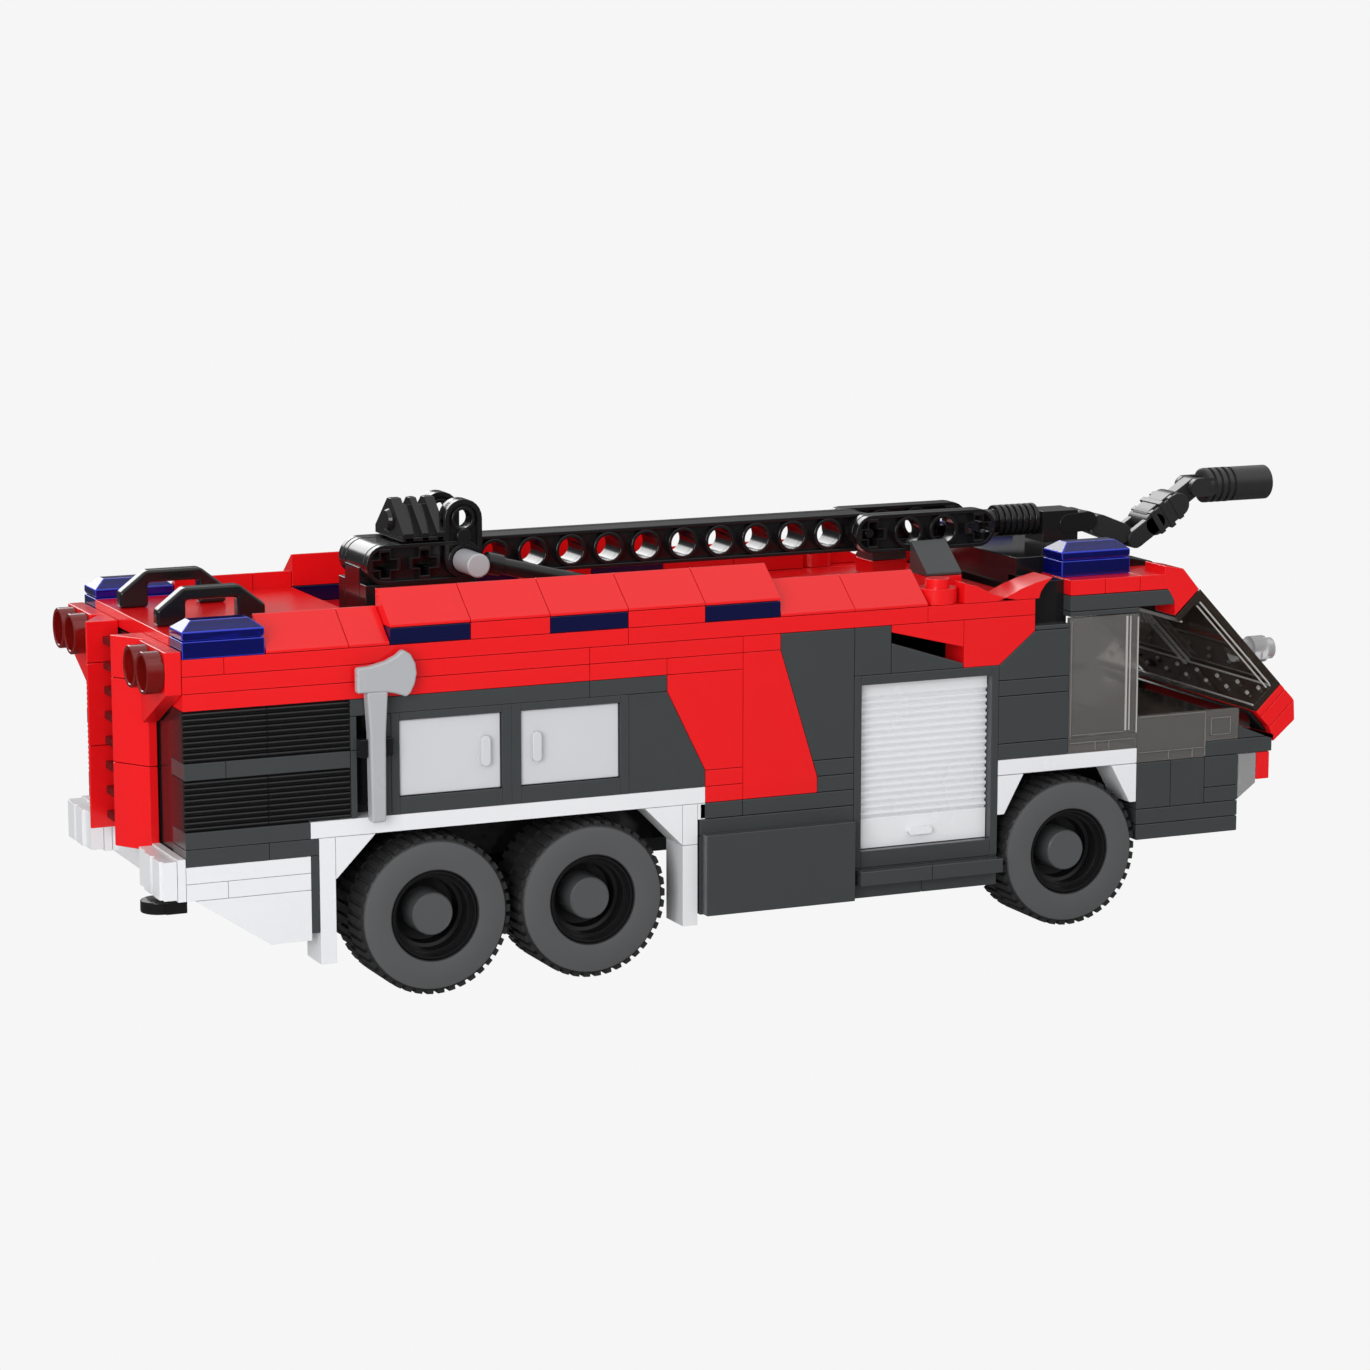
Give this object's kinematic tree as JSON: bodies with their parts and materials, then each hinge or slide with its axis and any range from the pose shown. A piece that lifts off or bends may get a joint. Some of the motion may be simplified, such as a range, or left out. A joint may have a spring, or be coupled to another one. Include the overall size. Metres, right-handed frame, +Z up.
{
  "type": "toy airport fire truck",
  "caption": "Toy airport fire truck of building bricks, with rolling wheels, cupboard doors and a lifting roof boom that ends in a water nozzle.",
  "frame": {"origin": "on the floor under the middle of the truck's bounding box", "axes": "+X forwards along the truck, +Y to its left, +Z up"},
  "size_m": [0.2558, 0.0705, 0.0901],
  "materials": {
    "red": "bright glossy red",
    "dark_grey": "dark bluish grey",
    "black": "black",
    "white": "white",
    "light_grey": "light bluish grey",
    "rubber": "dark grey rubber",
    "clear_blue": "clear dark blue",
    "clear_red": "clear red",
    "smoke": "smoky brown, see-through",
    "clear": "clear"
  },
  "bodies": {
    "body": {"engine_wall_right": "dark_grey", "upper_body_right": "red", "middle_body_right": "dark_grey", "rear_arch_right": "white", "front_arch_right": "white", "cab_panel_right": "dark_grey", "side_glass_right": "smoke", "shutter_right": "white", "rear_column_right": "red", "tail_lamps_right": "clear_red", "rear_beacon_right": "clear_blue", "front_beacon_right": "clear_blue", "roof_handle_right": "black", "cab_cap_right": "red", "engine_wall_left": "dark_grey", "upper_body_left": "red", "middle_body_left": "dark_grey", "rear_arch_left": "white", "front_arch_left": "white", "cab_panel_left": "dark_grey", "side_glass_left": "smoke", "shutter_left": "white", "rear_column_left": "red", "tail_lamps_left": "clear_red", "rear_beacon_left": "clear_blue", "front_beacon_left": "clear_blue", "roof_handle_left": "black", "cab_cap_left": "red", "chassis": "black", "rear_wall": "black", "rear_sill": "white", "roof_deck": "red", "tow_hook": "black", "axe": "light_grey", "windscreen": "smoke", "nose": "red", "cab_front": "dark_grey", "headlamps": "clear", "bumper": "red", "cab_floor": "black", "cab_roof": "black", "boom_base": "black", "boom_pin": "light_grey"},
    "rear_wheels": {"rear_axle": "black", "tyre_rear_right": "rubber", "tyre_rear_left": "rubber"},
    "middle_wheels": {"middle_axle": "black", "tyre_middle_right": "rubber", "tyre_middle_left": "rubber"},
    "front_wheels": {"front_axle": "black", "tyre_front_right": "rubber", "tyre_front_left": "rubber"},
    "door_rear_right": {"rear_door_right": "light_grey"},
    "door_front_right": {"front_door_right": "light_grey"},
    "door_rear_left": {"rear_door_left": "light_grey"},
    "door_front_left": {"front_door_left": "light_grey"},
    "boom": {"boom_beam": "black"},
    "link": {"boom_link": "black"},
    "arm": {"boom_arm": "black"},
    "nozzle": {"nozzle": "black"}
  },
  "joints": [
    {"name": "rear_axle_spin", "type": "hinge", "parent": "body", "child": "rear_wheels", "pos_m": [-0.073, 0, 0.0152], "axis": [0, 1, 0], "continuous": true},
    {"name": "middle_axle_spin", "type": "hinge", "parent": "body", "child": "middle_wheels", "pos_m": [-0.041, 0, 0.0152], "axis": [0, 1, 0], "continuous": true},
    {"name": "front_axle_spin", "type": "hinge", "parent": "body", "child": "front_wheels", "pos_m": [0.063, 0, 0.0152], "axis": [0, 1, 0], "continuous": true},
    {"name": "rear_door_right_hinge", "type": "hinge", "parent": "body", "child": "door_rear_right", "pos_m": [-0.07806, -0.0305, 0.03788], "axis": [0, 0, -1], "range_deg": [0, 90]},
    {"name": "front_door_right_hinge", "type": "hinge", "parent": "body", "child": "door_front_right", "pos_m": [-0.03594, -0.0305, 0.03788], "axis": [0, 0, 1], "range_deg": [0, 90]},
    {"name": "rear_door_left_hinge", "type": "hinge", "parent": "body", "child": "door_rear_left", "pos_m": [-0.07806, 0.0305, 0.03788], "axis": [0, 0, 1], "range_deg": [0, 90]},
    {"name": "front_door_left_hinge", "type": "hinge", "parent": "body", "child": "door_front_left", "pos_m": [-0.03594, 0.0305, 0.03788], "axis": [0, 0, -1], "range_deg": [0, 90]},
    {"name": "boom_lift", "type": "hinge", "parent": "body", "child": "boom", "pos_m": [-0.057, 0, 0.0782], "axis": [0, -1, 0], "range_deg": [0, 60]},
    {"name": "link_tilt", "type": "hinge", "parent": "boom", "child": "link", "pos_m": [0.083, 0, 0.07756], "axis": [0, -1, 0], "range_deg": [0, 45]},
    {"name": "arm_tilt", "type": "hinge", "parent": "link", "child": "arm", "pos_m": [0.0946, 0, 0.07308], "axis": [0, -1, 0], "range_deg": [-30, 30]},
    {"name": "nozzle_tilt", "type": "hinge", "parent": "arm", "child": "nozzle", "pos_m": [0.1098, 0, 0.083], "axis": [0, -1, 0], "range_deg": [-40, 40]}
  ]
}
